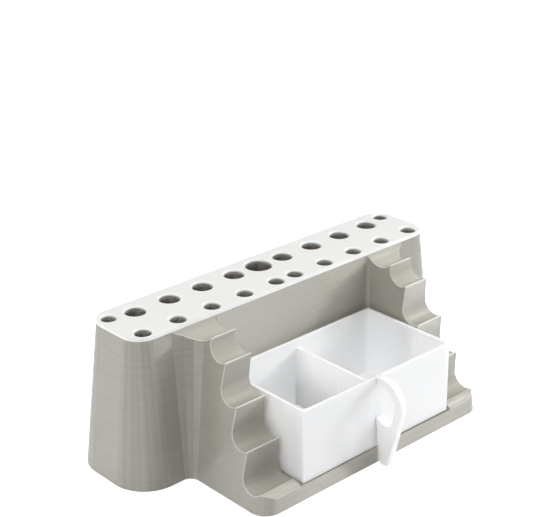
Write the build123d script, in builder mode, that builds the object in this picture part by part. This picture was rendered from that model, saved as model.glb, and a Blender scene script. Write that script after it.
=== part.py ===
"""Brush holder: a drafted block with two rows of blind holes, stepped wings round a bay, and a tray in the bay.

Millimetres, +Z up, front towards -Y. The origin lies on the base plane, at mid-length, midway between the hole rows.
"""
import os
from math import acos, atan2, cos, hypot, radians, sin, tan

from build123d import *

# Overall sizes
total_height = 74.1
draft_angle = 6.4
overrun = 5.0

# Holes: a back row with a wide one in the middle and a slim one at each end, and a front row.
# Their pitch is a share of the tray's width, so that the block stays longer than the wings.
row_spacing = 19.6
hole_pitch_share = 0.2049
steps_per_side = 4
back_first_offset = 16.0
front_first_offset = 6.1
front_end_margin = 8.5
end_hole_step = 13.3
end_hole_setback = 2.6
wide_hole_diameter = 13.4
back_hole_diameter = 10.1
front_hole_diameter = 8.0
end_hole_diameter = 7.2
hole_floor_height = 12.0

# Top plate, which fixes the block's outline at the top
plate_thickness = 1.6
plate_end_margin = 6.1
plate_back_margin = 10.4
plate_front_margin = 6.2
plate_corner_radius = 10.0

# Tray
tray_width = 97.6
tray_depth = 54.6
tray_height = 37.4
tray_wall = 1.6
tray_floor = 1.6
divider_wall = 1.6
divider_offset = -1.5
divider_drop = 4.6
tray_corner_radius = 0.6

# Bay and wings round the tray
bay_side_gap = 2.1
bay_back_gap = 2.7
bay_corner_radius = 2.0
floor_height = 7.6
floor_lip = 0.3
wing_thickness = 14.3
wing_nose_radius = 0.7
wing_root_base_radius = 4.9

# Scalloped steps of the wings
scallop_count = 4
scallop_radius = 6.5
scallop_lip_angle = 49.0
first_tip_drop = 8.6
first_tip_forward = 25.9
last_tip_rise = 2.45
last_tip_setback = 5.2
trough_depth = 4.0
nose_bulge = 0.5

# Handle of the tray, with its curve and its finger hole as shares of the tray's height
handle_width = 4.0
handle_band = 4.0
handle_reach = 15.4
handle_radius_share = 0.3342
handle_foot_gap = 0.4
handle_foot_front = 7.8
handle_foot_back = 2.7
handle_seat_height = 3.0
handle_seat_share = 0.4305
finger_hole_floor_share = 0.3316
finger_hole_radius_share = 0.336

# Worked out from the sizes above
draft_slope = tan(radians(draft_angle))
block_height = total_height - plate_thickness
back_row = row_spacing / 2
front_row = -row_spacing / 2
hole_pitch = tray_width * hole_pitch_share
end_hole_x = back_first_offset + (steps_per_side - 1) * hole_pitch + end_hole_step
end_hole_y = back_row + end_hole_setback
half_length = end_hole_x + plate_end_margin
front_pitch = (half_length - front_end_margin - front_first_offset) / steps_per_side
top_back = back_row + plate_back_margin
top_front = front_row - plate_front_margin
bay_half_width = tray_width / 2 + bay_side_gap
wing_half_width = bay_half_width + wing_thickness
bay_back = top_front - plate_thickness * draft_slope
tray_back = bay_back - bay_back_gap
tray_front = tray_back - tray_depth
floor_front = tray_front - floor_lip
tray_top = floor_height + tray_height
base_front = floor_front - floor_height * draft_slope


def spread(level):
    """How far the drafted outline at a level stands outside the outline at the very top."""
    return (total_height - level) * draft_slope


def tangent_point(centre, radius, point):
    """Where the line from an outside point touches a circle, on the side to the right of the way to the circle."""
    along, up = point[0] - centre[0], point[1] - centre[1]
    angle = atan2(up, along) - acos(radius / hypot(along, up))
    return (centre[0] + radius * cos(angle), centre[1] + radius * sin(angle))


def mirrored_holes(diameter, offsets, row):
    """Pairs of hole centres at equal offsets to both sides of the middle, each with its diameter."""
    return [(side * offset, row, diameter) for offset in offsets for side in (-1, 1)]


back_offsets = [back_first_offset + step * hole_pitch for step in range(steps_per_side)]
front_offsets = [front_first_offset + step * front_pitch for step in range(steps_per_side + 1)]
holes = [(0, back_row, wide_hole_diameter)]
holes += mirrored_holes(back_hole_diameter, back_offsets, back_row)
holes += mirrored_holes(end_hole_diameter, [end_hole_x], end_hole_y)
holes += mirrored_holes(front_hole_diameter, front_offsets, front_row)

# Scallop tips from the top step down to the nose, evenly spaced, and the circle behind each tip
lip_along = scallop_radius * cos(radians(scallop_lip_angle))
lip_up = scallop_radius * sin(radians(scallop_lip_angle))
first_tip = (bay_back - first_tip_forward, block_height - first_tip_drop)
last_tip = (base_front + last_tip_setback, floor_height + last_tip_rise)
step_run = (last_tip[0] - first_tip[0]) / (scallop_count - 1)
step_drop = (last_tip[1] - first_tip[1]) / (scallop_count - 1)
tips = [(first_tip[0] + n * step_run, first_tip[1] + n * step_drop) for n in range(-1, scallop_count)]
centres = [(y + lip_along, z + lip_up) for y, z in tips[1:]]
risers = [tangent_point(centre, scallop_radius, tip) for centre, tip in zip(centres, tips)]

# The top riser is cut off at the block's top, which gives the front edge of the trough behind it
top_riser_share = (block_height - risers[0][1]) / (tips[0][1] - risers[0][1])
trough_front = risers[0][0] + top_riser_share * (tips[0][0] - risers[0][0])
trough_middle = (bay_back + trough_front) / 2
nose_middle = ((last_tip[0] + floor_front) / 2 - nose_bulge, (last_tip[1] + floor_height) / 2 + nose_bulge)

# Block: one drafted T-shaped print with the bay, the scalloped wings and the blind holes
base_spread = spread(0)
block_end = half_length + base_spread
block_back = top_back + base_spread
block_front = top_front - base_spread
wing_side = wing_half_width + base_spread
with BuildPart() as block:
    with BuildSketch(Plane.XY) as footprint:
        with BuildLine():
            Polyline(
                (-block_end, block_front),
                (-wing_side, block_front),
                (-wing_side, base_front),
                (wing_side, base_front),
                (wing_side, block_front),
                (block_end, block_front),
                (block_end, block_back),
                (-block_end, block_back),
                close=True,
            )
        make_face()
        by_side = footprint.vertices().sort_by(lambda corner: abs(corner.X))
        wing_corners = by_side[:4].sort_by(Axis.Y)
        fillet(wing_corners[:2], wing_nose_radius + base_spread)
        by_side = footprint.vertices().sort_by(lambda corner: abs(corner.X))
        fillet(by_side[-4:], plate_corner_radius + base_spread)
        roots = footprint.vertices().filter_by(
            lambda corner: abs(abs(corner.X) - wing_side) < overrun and abs(corner.Y - block_front) < overrun
        )
        fillet(roots, wing_root_base_radius)
    extrude(amount=block_height, taper=draft_angle)
    with BuildSketch(Plane.XY.offset(floor_height)) as bay:
        with Locations((0, bay_back)):
            bay_length = bay_back - base_front + overrun
            Rectangle(2 * bay_half_width, bay_length, align=(Align.CENTER, Align.MAX))
        fillet(bay.vertices().group_by(Axis.Y)[-1], bay_corner_radius)
    extrude(amount=total_height, mode=Mode.SUBTRACT)
    with BuildSketch(Plane.YZ):
        with BuildLine():
            ThreePointArc(
                (bay_back, block_height),
                (trough_middle, block_height - trough_depth),
                (trough_front, block_height),
            )
            start = (trough_front, block_height)
            for riser, tip in zip(risers, tips[1:]):
                Line(start, riser)
                RadiusArc(riser, tip, scallop_radius)
                start = tip
            ThreePointArc(last_tip, nose_middle, (floor_front, floor_height))
            Polyline(
                (floor_front, floor_height),
                (base_front - overrun, floor_height),
                (base_front - overrun, total_height + overrun),
                (bay_back, total_height + overrun),
                (bay_back, block_height),
            )
        make_face()
    extrude(amount=wing_side + overrun, both=True, mode=Mode.SUBTRACT)
    for x, y, diameter in holes:
        with Locations((x, y, block_height)):
            Hole(diameter / 2, depth=block_height - hole_floor_height)
block.part.label = "block"

# Top plate: a thin drafted cap, flush with the block, with the same holes right through
plate_spread = spread(block_height)
with BuildPart() as top_plate:
    with BuildSketch(Plane.XY.offset(block_height)):
        with Locations((0, (top_back + top_front) / 2)):
            RectangleRounded(
                2 * (half_length + plate_spread),
                top_back - top_front + 2 * plate_spread,
                plate_corner_radius + plate_spread,
            )
    extrude(amount=plate_thickness, taper=draft_angle)
    for x, y, diameter in holes:
        with Locations((x, y, total_height)):
            Hole(diameter / 2, depth=plate_thickness)
top_plate.part.label = "top_plate"

# Tray: an open box on the bay's floor, with one divider wall a little lower than its rim
with BuildPart() as tray:
    with BuildSketch(Plane.XY.offset(floor_height)):
        with Locations((0, tray_front)):
            Rectangle(tray_width, tray_depth, align=(Align.CENTER, Align.MIN))
    extrude(amount=tray_height)
    fillet(tray.edges().filter_by(Axis.Z), tray_corner_radius)
    with BuildSketch(Plane.XY.offset(floor_height + tray_floor)):
        with Locations((0, tray_front + tray_wall)):
            inner_size = (tray_width - 2 * tray_wall, tray_depth - 2 * tray_wall)
            Rectangle(*inner_size, align=(Align.CENTER, Align.MIN))
    extrude(amount=tray_height, mode=Mode.SUBTRACT)
    with BuildSketch(Plane.XY.offset(floor_height + tray_floor)):
        with Locations((divider_offset, tray_front + tray_wall)):
            Rectangle(divider_wall, inner_size[1], align=(Align.CENTER, Align.MIN))
    extrude(amount=tray_height - tray_floor - divider_drop)
tray.part.label = "tray"

# Tray handle: an ear like a cup's, seated on the front wall, that runs down into a tapered foot
handle_outer_radius = tray_height * handle_radius_share
ear_centre = (tray_front - handle_reach + handle_outer_radius, tray_top - handle_outer_radius)
foot_front = (tray_front - handle_foot_front, handle_foot_gap)
foot_back = (tray_front - handle_foot_back, handle_foot_gap)
seat_top = floor_height + tray_height * handle_seat_share
ear_side = tangent_point(ear_centre, handle_outer_radius, foot_front)
inner_share = (handle_outer_radius - handle_band) / handle_outer_radius
hole_side = tuple(c + inner_share * (s - c) for c, s in zip(ear_centre, ear_side))
hole_floor = floor_height + tray_height * finger_hole_floor_share
side_slope = (foot_front[0] - ear_side[0]) / (foot_front[1] - ear_side[1])
hole_corner = (hole_side[0] + side_slope * (hole_floor - hole_side[1]), hole_floor)
ear_top = (ear_centre[0], tray_top)
hole_top = (ear_centre[0], tray_top - handle_band)
with BuildPart() as tray_handle:
    with BuildSketch(Plane.YZ) as ear:
        with BuildLine():
            Line((tray_front, tray_top), ear_top)
            RadiusArc(ear_top, ear_side, -handle_outer_radius)
            Polyline(
                ear_side,
                foot_front,
                foot_back,
                (tray_front, seat_top - handle_seat_height),
                (tray_front, tray_top),
            )
        make_face()
        with BuildLine():
            Line((tray_front, tray_top - handle_band), hole_top)
            RadiusArc(hole_top, hole_side, -(handle_outer_radius - handle_band))
            Polyline(
                hole_side,
                hole_corner,
                (tray_front, seat_top),
                (tray_front, tray_top - handle_band),
            )
        make_face(mode=Mode.SUBTRACT)
        fillet(ear.vertices().sort_by_distance(hole_corner)[0], handle_outer_radius * finger_hole_radius_share)
    extrude(amount=handle_width / 2, both=True)
tray_handle.part.label = "tray_handle"

os.makedirs("parts", exist_ok=True)
for piece in (block, top_plate, tray, tray_handle):
    export_step(piece.part, f"parts/{piece.part.label}.step")
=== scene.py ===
"""Brush holder: a drafted grey block with holes and scalloped wings, a white cap, and a tray that slides out.

Every surface is worked out in millimetres as numpy arrays and put into its mesh in metres, in the CAD's
frame: +Z up, front towards -Y, the origin on the base plane midway between the two rows of holes.
"""

import logging
import math
from collections.abc import Callable
from dataclasses import dataclass, field
from enum import Enum

import bmesh
import bpy
import numpy as np
from mathutils import Matrix, Vector
from mathutils.geometry import delaunay_2d_cdt
from numpy.lib.stride_tricks import sliding_window_view


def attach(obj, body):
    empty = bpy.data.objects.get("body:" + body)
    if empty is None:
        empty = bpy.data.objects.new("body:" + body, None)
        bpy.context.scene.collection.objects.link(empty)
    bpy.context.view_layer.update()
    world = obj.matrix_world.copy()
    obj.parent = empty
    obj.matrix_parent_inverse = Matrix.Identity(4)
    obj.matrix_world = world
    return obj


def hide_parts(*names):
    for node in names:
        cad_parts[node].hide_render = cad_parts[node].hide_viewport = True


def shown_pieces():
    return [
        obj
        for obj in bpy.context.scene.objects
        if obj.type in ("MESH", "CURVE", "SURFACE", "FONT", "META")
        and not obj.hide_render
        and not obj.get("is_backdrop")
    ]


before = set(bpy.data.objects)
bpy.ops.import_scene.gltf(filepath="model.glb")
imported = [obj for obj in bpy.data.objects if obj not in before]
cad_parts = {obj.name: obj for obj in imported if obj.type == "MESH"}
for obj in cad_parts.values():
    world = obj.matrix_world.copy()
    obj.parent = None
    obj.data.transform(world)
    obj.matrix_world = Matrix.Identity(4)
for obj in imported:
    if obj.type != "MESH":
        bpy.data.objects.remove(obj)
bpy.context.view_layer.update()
log = logging.getLogger("brush_holder")

Array = np.ndarray
Place = Callable[[Array], Array]
Socket = bpy.types.NodeSocket
Triple = tuple[float, float, float]

# One millimetre in metres
MM = 0.001
# Distance between the points of a finely drawn line
DENSE = 0.02
# Fewest points of an arc
LEAST_POINTS = 3
# Distance within which the borders of two patches, or the points of one flat net, are the same
WELD = 0.002
NET_WELD = 1e-6
# Area over length under which a triangle is left out
SLIVER = 1e-5
# Least bend, sine and rise that something is divided by
LEAST_BEND = 1e-6
LEAST_SINE = 1e-9
LEAST_RISE = 1e-12
# Angle between two faces under which they count as one
NEARLY_FLAT = 1e-4
# Largest radius of an edge over that of its own bend, and the points to each side that are searched for bends
EDGE_SHARE = 0.8
EDGE_REACH = 60
# Largest bend of a line from one row of its mesh to the next
ROW_TURN = math.radians(6.0)
# Mean of a random number from 0 to 1
MEAN_CHANCE = 0.5
# Fraction whose multiples scatter evenly
GOLDEN = (math.sqrt(5.0) - 1.0) / 2
UP = np.array([0.0, 0.0, 1.0])
MIRROR_X = np.array([-1.0, 1.0, 1.0])
# Sizes that several pieces follow: the bay's floor, the tray's width, and the hole pitch over that width
FLOOR = 7.6
TRAY_WIDTH = 97.6
PITCH_SHARE = 0.2049


def arc(centre: Array, radius: float, start: float, end: float, step: float = DENSE) -> Array:
    """Points on a circle's arc: the centre plus the radius times the cosine and sine of even angles.

    Args:
        centre: the circle's centre in its plane.
        radius: its radius.
        start: first angle in radians.
        end: last angle in radians.
        step: distance between points along the arc.

    Returns:
        The points, one row each.
    """
    count = max(LEAST_POINTS, math.ceil(radius * abs(end - start) / step) + 1)
    angle = np.linspace(start, end, count)
    return np.stack([centre[0] + radius * np.cos(angle), centre[1] + radius * np.sin(angle)], axis=-1)


def bent(before: Array, corner: Array, after: Array, radius: float) -> Array:
    """Arc that rounds the corner of a broken line.

    Its centre lies on the line that halves the corner, at the radius over the sine of half the corner's
    angle, and it touches both straights at the radius over the tangent of that half angle from the corner.

    Args:
        before: a point on the straight that leads to the corner.
        corner: the sharp corner.
        after: a point on the straight that leads away.
        radius: the arc's radius.

    Returns:
        The arc's points, from the first straight to the second.
    """
    first = (before - corner) / np.linalg.norm(before - corner)
    second = (after - corner) / np.linalg.norm(after - corner)
    half = math.acos(float(np.dot(first, second))) / 2
    middle = corner + radius / math.sin(half) * (first + second) / np.linalg.norm(first + second)
    reach = radius / math.tan(half)
    start, end = corner + first * reach - middle, corner + second * reach - middle
    begin = math.atan2(start[1], start[0])
    turn = math.atan2(end[1], end[0]) - begin
    turn -= 2 * math.pi * round(turn / (2 * math.pi))
    return arc(middle, radius, begin, begin + turn)


def evenly(line: Array, step: float = DENSE) -> Array:
    """A broken line read again at even steps along its own length.

    Args:
        line: the corner points, one row each.
        step: the wanted distance between points.

    Returns:
        The even points, with the first and last kept.
    """
    run = np.concatenate([[0.0], np.cumsum(np.linalg.norm(np.diff(line, axis=0), axis=1))])
    at = np.linspace(0.0, run[-1], math.ceil(run[-1] / step) + 1)
    return np.stack([np.interp(at, run, line[:, axis]) for axis in range(line.shape[1])], axis=-1)


def soften(line: Array, reach: float, closed: bool = False, step: float = DENSE) -> Array:
    """Rounds the corners of an even line: each point becomes the mean of its neighbours, taken twice.

    Args:
        line: points at even steps.
        reach: how far along the line a corner is drawn out to each side.
        closed: whether the last point is followed by the first.
        step: the distance between points.

    Returns:
        The rounded line, with as many points and the same ends.
    """
    width = 2 * max(1, round(reach / step / 2)) + 1
    kernel = np.convolve(np.full(width, 1 / width), np.full(width, 1 / width))
    pad = len(kernel) // 2
    if closed:
        full = np.vstack([line[-pad:], line, line[:pad]])
    else:
        full = np.vstack([2 * line[0] - line[pad:0:-1], line, 2 * line[-1] - line[-2:-pad - 2:-1]])
    return np.stack([np.convolve(column, kernel, mode="valid") for column in full.T], axis=-1)


def headings(line: Array, closed: bool = False) -> Array:
    """Unit directions along a line, each from the point before to the point after.

    Args:
        line: the points, one row each.
        closed: whether the last point is followed by the first.

    Returns:
        A direction for each point.
    """
    if closed:
        ahead = np.roll(line, -1, axis=0) - np.roll(line, 1, axis=0)
    else:
        ahead = np.gradient(line, axis=0)
    return ahead / np.linalg.norm(ahead, axis=1, keepdims=True)


def key_points(line: Array, reach: float, turn: float = ROW_TURN, closed: bool = False) -> Array:
    """Picks the points that carry a line's shape: close together in its bends, far apart on its straights.

    Args:
        line: points at even steps.
        reach: the longest straight between two picks.
        turn: the largest bend between two picks, in radians.
        closed: whether the last point is followed by the first.

    Returns:
        Indices into the line, in order.
    """
    ahead = headings(line, closed)
    bend = np.arccos(np.clip(np.sum(ahead[1:] * ahead[:-1], axis=1), -1.0, 1.0))
    step = np.linalg.norm(np.diff(line, axis=0), axis=1)
    worth = np.concatenate([[0.0], np.cumsum(step / reach + bend / turn)])
    count = math.ceil(worth[-1]) + (0 if closed else 1)
    at = np.linspace(0.0, worth[-1], count, endpoint=not closed)
    return np.unique(np.round(np.interp(at, worth, np.arange(len(line)))).astype(int))


def edge_sizes(line: Array, wanted: float, closed: bool = False, step: float = DENSE) -> Array:
    """Radius that the edge along a line can be rounded with, less than the line's own in its tight bends.

    The line's radius is the step over the bend from one step to the next. A share of the least of it nearby
    caps the wanted radius, and the result is averaged so that it changes slowly.

    Args:
        line: points at even steps.
        wanted: the radius away from tight bends.
        closed: whether the last point is followed by the first.
        step: the distance between points.

    Returns:
        A radius for each point.
    """
    ahead = headings(line, closed)
    bend = np.arccos(np.clip(np.sum(ahead * np.roll(ahead, 1, axis=0), axis=1), -1.0, 1.0))
    if not closed:
        bend[0] = 0.0
    own = EDGE_SHARE * step / np.maximum(bend, LEAST_BEND)
    mode = "wrap" if closed else "edge"
    near = sliding_window_view(np.pad(own, EDGE_REACH, mode=mode), 2 * EDGE_REACH + 1).min(axis=1)
    capped = np.pad(np.minimum(near, wanted), EDGE_REACH // 2, mode=mode)
    return sliding_window_view(capped, EDGE_REACH + 1).mean(axis=1)


def ease(value: Array) -> Array:
    """Smooth step from 0 to 1: three times the square less twice the cube, flat outside."""
    share = np.clip(value, 0.0, 1.0)
    return share * share * (3.0 - 2.0 * share)


def round_edge(edge: Array, side: Array, top: Array, radius: Array, count: int) -> Array:
    """Rounds the edge between two faces with an arc.

    The arc's centre lies under the edge, back along the sum of the two unit normals by the radius over one
    plus their cosine. The arc swings from one normal to the other, so it meets both faces without a step.

    Args:
        edge: points of the sharp edge, one row each.
        side: unit normals of the first face there.
        top: unit normals of the second face there.
        radius: the rounding's radius at each point.
        count: points across the arc.

    Returns:
        A grid of points: one row for each edge point, from the first face to the second.
    """
    cosine = np.clip(np.sum(side * top, axis=1, keepdims=True), -1.0, 1.0)
    size = radius[:, None]
    centre = edge - size / (1.0 + cosine) * (side + top)
    angle = np.arccos(cosine)[:, :, None]
    share = np.linspace(0.0, 1.0, count)[None, :, None]
    sine = np.maximum(np.sin(angle), LEAST_SINE)
    flat = angle < NEARLY_FLAT
    first = np.where(flat, 1.0 - share, np.sin((1.0 - share) * angle) / sine)
    second = np.where(flat, share, np.sin(share * angle) / sine)
    return centre[:, None, :] + size[:, :, None] * (first * side[:, None, :] + second * top[:, None, :])


def crown(count: int) -> Array:
    """Weights across a rounded edge: nothing at its two sides and one in the middle, a half sine."""
    return np.sin(np.linspace(0.0, math.pi, count))


def within(spots: Array, loops: list[Array]) -> Array:
    """Tells which points lie in a region: a ray to the right crosses its borders an odd number of times.

    Args:
        spots: points in the plane.
        loops: closed borders of the region and of its holes.

    Returns:
        One truth value for each point.
    """
    start = np.vstack(loops)
    end = np.vstack([np.roll(loop, -1, axis=0) for loop in loops])
    height = spots[:, 1:2]
    between = (start[None, :, 1] > height) != (end[None, :, 1] > height)
    rise = end[:, 1] - start[:, 1]
    rise = np.where(np.abs(rise) < LEAST_RISE, LEAST_RISE, rise)
    cross = start[:, 0] + (height - start[:, 1]) * (end[:, 0] - start[:, 0]) / rise
    return np.sum(between & (spots[:, :1] < cross), axis=1) % 2 == 1


def ring(count: int) -> Array:
    """A closed circle of points about the origin: the cosine and sine of even angles."""
    angle = np.linspace(0.0, 2 * math.pi, count, endpoint=False)
    return np.stack([np.cos(angle), np.sin(angle)], axis=-1)


def at_level(points: Array, level: float) -> Array:
    """Plan points lifted to one height."""
    return np.column_stack([points, np.full(len(points), level)])


def at_side(points: Array, x: float) -> Array:
    """Points of a side view, as (y, z), moved to one x."""
    return np.column_stack([np.full(len(points), x), points])


def at_levels(plan: Array, levels: Array) -> Array:
    """Loops of plan points, each lifted to its own height."""
    heights = np.broadcast_to(levels[:, None, None], (*plan.shape[:2], 1))
    return np.concatenate([plan, heights], axis=-1)


def both_sides(border: Array) -> Array:
    """A right-hand border and its mirror image as one loop, without doubled points.

    Args:
        border: plan points of the right half, one row each.

    Returns:
        The closed loop.
    """
    loop = np.vstack([border, border[::-1] * MIRROR_X[:2]])
    gap = np.linalg.norm(loop - np.roll(loop, 1, axis=0), axis=1)
    return loop[gap > WELD]


def quads(index: Array) -> Array:
    """Faces of a grid of indices: each joins (i, j), (i, j+1), (i+1, j+1) and (i+1, j)."""
    corners = (index[:-1, :-1], index[:-1, 1:], index[1:, 1:], index[1:, :-1])
    return np.stack(corners, axis=-1).reshape(-1, 4)


def linked(name: str, data: bpy.types.ID) -> bpy.types.Object:
    """Adds an object to the scene.

    Args:
        name: its name.
        data: its mesh, light or camera.

    Returns:
        The new object, at the origin.
    """
    made = bpy.data.objects.new(name, data)
    bpy.context.scene.collection.objects.link(made)
    return made


class Mark(Enum):
    """What a surface tells its finish: each is stored under its name, for every point or for every face."""

    # Painted highlight: a lighter colour along rounded edges
    EDGE_HIGHLIGHT = "rim"
    # Painted shade down in the holes
    HOLE_PAINTED_SHADE = "deep"
    GLOW = "glow"
    # Tone of each face: a random part on facets, plus painted light and painted shade on chosen faces
    TONE_AND_PAINTED_LIGHT = "sheen"

    @property
    def domain(self) -> str:
        """Where the mark is stored: a face's tone and painted light on that face, the others on the points.
        """
        return "FACE" if self is Mark.TONE_AND_PAINTED_LIGHT else "POINT"


Marks = dict[Mark, Array]


class Shell:
    """Patches of one closed surface, gathered in millimetres and welded where their borders meet."""

    def __init__(self) -> None:
        """Starts with no patches."""
        self.points: list[Array] = []
        self.faces: list[Array] = []
        self.smooth: list[Array] = []
        self.marks: dict[Mark, list[Array]] = {mark: [] for mark in Mark}
        self.total = 0

    def add(self, points: Array, faces: Array, smooth: bool, marks: Marks | None = None) -> None:
        """Adds one patch.

        Args:
            points: its points, one row each.
            faces: its faces as rows of indices into these points.
            smooth: whether it is shaded as a curved surface.
            marks: values for its points or faces; a mark that isn't given is zero.
        """
        self.points.append(points)
        self.faces.append(faces + self.total)
        self.smooth.append(np.full(len(faces), smooth))
        for mark, values in self.marks.items():
            count = len(faces) if mark.domain == "FACE" else len(points)
            given = (marks or {}).get(mark, np.zeros(1))
            values.append(np.broadcast_to(given.reshape(-1), count))
        self.total += len(points)

    def grid(self, rows: Array, smooth: bool = True, closed: bool = False,
             marks: Marks | None = None) -> None:
        """Adds a surface of two parameters: point (i, j) of the grid is joined to (i+1, j) and (i, j+1).

        Args:
            rows: points as rows by columns by three.
            smooth: whether it is shaded as a curved surface.
            closed: whether the last column is followed by the first.
            marks: values for the points, rows by columns, or for the faces between them.
        """
        index = np.arange(rows.shape[0] * rows.shape[1]).reshape(rows.shape[:2])
        if closed:
            index = np.hstack([index, index[:, :1]])
        self.add(rows.reshape(-1, 3), quads(index), smooth, marks)

    def pair(self, rows: Array, smooth: bool = True, marks: Marks | None = None) -> None:
        """Adds a grid on the right and its mirror image on the left."""
        self.grid(rows, smooth, marks=marks)
        self.grid(rows * MIRROR_X, smooth, marks=marks)

    def fill(self, loops: list[Array], place: Place) -> None:
        """Fills a flat region with triangles that keep its borders, a constrained Delaunay net.

        Args:
            loops: the border and any holes, as closed rows of points in the plane.
            place: puts points of the plane into space.
        """
        counts = [len(loop) for loop in loops]
        first = np.concatenate([[0], np.cumsum(counts)[:-1]])
        edges = np.vstack([
            np.stack([np.arange(n), (np.arange(n) + 1) % n], axis=-1) + s for n, s in zip(counts, first)])
        found = delaunay_2d_cdt(np.vstack(loops).tolist(), edges.tolist(), [], 0, NET_WELD)
        spots, faces = np.array(found[0]), np.array(found[2])
        across, along = spots[faces[:, 1]] - spots[faces[:, 0]], spots[faces[:, 2]] - spots[faces[:, 0]]
        area = np.abs(across[:, 0] * along[:, 1] - across[:, 1] * along[:, 0])
        longest = np.maximum(np.linalg.norm(across, axis=1), np.linalg.norm(along, axis=1))
        sound = (area > SLIVER * longest) & within(spots[faces].mean(axis=1), loops)
        self.add(place(spots), faces[sound], False)

    def fill_pair(self, loops: list[Array], place: Place) -> None:
        """Fills a flat region on the right and its mirror image on the left."""
        self.fill(loops, place)
        self.fill(loops, lambda spots: place(spots) * MIRROR_X)

    def build(self, name: str) -> bpy.types.Object:
        """Puts the patches into one mesh, welds their borders and turns all faces outwards.

        Args:
            name: the piece's name.

        Returns:
            The new object, at the origin and linked to the scene.
        """
        mesh = bpy.data.meshes.new(name)
        mesh.from_pydata(np.vstack(self.points) * MM, [], [f for faces in self.faces for f in faces.tolist()])
        mesh.polygons.foreach_set("use_smooth", np.concatenate(self.smooth))
        for mark, values in self.marks.items():
            stored = mesh.attributes.new(mark.value, "FLOAT", mark.domain)
            stored.data.foreach_set("value", np.concatenate(values))
        net = bmesh.new()
        net.from_mesh(mesh)
        bmesh.ops.remove_doubles(net, verts=net.verts, dist=WELD * MM)
        bmesh.ops.recalc_face_normals(net, faces=net.faces)
        gaps = sum(not edge.is_manifold for edge in net.edges)
        net.to_mesh(mesh)
        net.free()
        log.info("%s: %d faces, %d open edges", name, len(mesh.polygons), gaps)
        return linked(name, mesh)


class Graph:
    """Adds nodes to one tree and joins their sockets."""

    def __init__(self, tree: bpy.types.NodeTree) -> None:
        """Empties the tree that is to be filled."""
        self.tree = tree
        tree.nodes.clear()

    def node(self, kind: str, **settings: object) -> bpy.types.Node:
        """Adds a node and sets the given properties on it.

        Args:
            kind: the node's type.
            settings: properties by name.

        Returns:
            The new node.
        """
        made = self.tree.nodes.new(kind)
        for key, value in settings.items():
            setattr(made, key, value)
        return made

    def join(self, source: Socket, target: Socket) -> None:
        """Joins an output to an input."""
        self.tree.links.new(source, target)

    def put(self, term: object, target: Socket) -> None:
        """Joins a socket to an input, or sets the input to a plain value.

        Args:
            term: the socket or the value.
            target: the input.
        """
        if isinstance(term, Socket):
            self.join(term, target)
        else:
            target.default_value = term

    def feed(self, node: bpy.types.Node, terms: dict[str, object]) -> None:
        """Joins or sets several inputs of a node, each under its name."""
        for name, term in terms.items():
            self.put(term, node.inputs[name])

    def math(self, operation: str, *terms: object) -> Socket:
        """Adds a Math node.

        Args:
            operation: the node's operation.
            terms: sockets to join or numbers to set, in order.

        Returns:
            Its output socket.
        """
        made = self.node("ShaderNodeMath", operation=operation)
        for place, term in zip(made.inputs, terms):
            self.put(term, place)
        return made.outputs[0]

    def mixed(self, first: object, second: Triple, share: Socket) -> Socket:
        """Mixes two colours.

        Args:
            first: a socket that gives the first colour, or its four numbers.
            second: the second colour.
            share: how much of the second is taken.

        Returns:
            The mixed colour's socket.
        """
        made = self.node("ShaderNodeMix", data_type="RGBA")
        self.feed(made, {"A": first, "B": (*second, 1.0), "Factor": share})
        return made.outputs["Result"]

    def mark(self, mark: Mark) -> Socket:
        """Reads one of the piece's marks."""
        return self.node("ShaderNodeAttribute", attribute_name=mark.value).outputs["Fac"]

    def noise(self, where: Socket, scale: float, detail: float = 2.0) -> Socket:
        """Adds a noise texture.

        Args:
            where: the place on the piece.
            scale: its waves in a metre.
            detail: how finely they are broken up.

        Returns:
            Its value, about a half in the mean.
        """
        made = self.node("ShaderNodeTexNoise")
        self.feed(made, {"Vector": where, "Scale": scale, "Detail": detail})
        return made.outputs["Fac"]

    def chance(self, place: Socket) -> Socket:
        """Draws one random number for each whole step of a place, the same on every run.

        Args:
            place: the place, in steps.

        Returns:
            A number from 0 to 1.
        """
        made = self.node("ShaderNodeTexWhiteNoise", noise_dimensions="1D")
        self.join(self.math("FLOOR", place), made.inputs["W"])
        return made.outputs["Value"]


class LayerAxis(Enum):
    """The axis along which a print's layers were stacked."""

    X = "X"
    Y = "Y"
    Z = "Z"


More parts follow.
